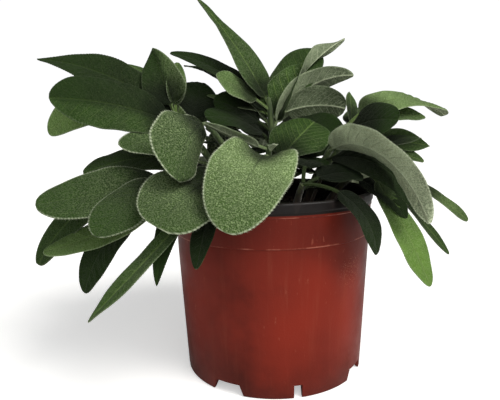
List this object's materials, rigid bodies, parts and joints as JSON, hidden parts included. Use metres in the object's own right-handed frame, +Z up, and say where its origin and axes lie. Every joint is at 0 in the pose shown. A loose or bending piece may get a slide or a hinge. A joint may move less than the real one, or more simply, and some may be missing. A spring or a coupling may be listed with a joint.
{
  "type": "potted sage",
  "caption": "Bushy sage plant with oval and lance-shaped grey-green leaves on leafy stems, standing in soil in a round tapered nursery pot with a dark lip and a notched foot ring.",
  "frame": {"origin": "on the table, under the middle of the whole plant's outline, which reaches further to the left and to the back than the pot does, so the pot's axis stands 8 mm to the right of the origin and 15 mm in front of it", "axes": "+Z up along the pot's axis, -Y towards the viewer, +X to the viewer's right, along the longest extent of the foliage"},
  "size_m": [0.285, 0.2282, 0.244],
  "materials": {
    "pot_plastic": "satin",
    "soil": "matte",
    "sage_leaf": "matte"
  },
  "bodies": {
    "root": {"pot": "pot_plastic", "soil": "soil", "sage_front": "sage_leaf", "sage_middle": "sage_leaf", "sage_near_left": "sage_leaf", "sage_left": "sage_leaf", "sage_outer_left": "sage_leaf", "sage_front_left": "sage_leaf", "sage_right": "sage_leaf", "sage_outer_right": "sage_leaf", "sage_front_right": "sage_leaf", "sage_back_right": "sage_leaf", "sage_back": "sage_leaf", "sage_back_left": "sage_leaf", "sage_rear": "sage_leaf", "sage_far_right": "sage_leaf"}
  },
  "joints": []
}
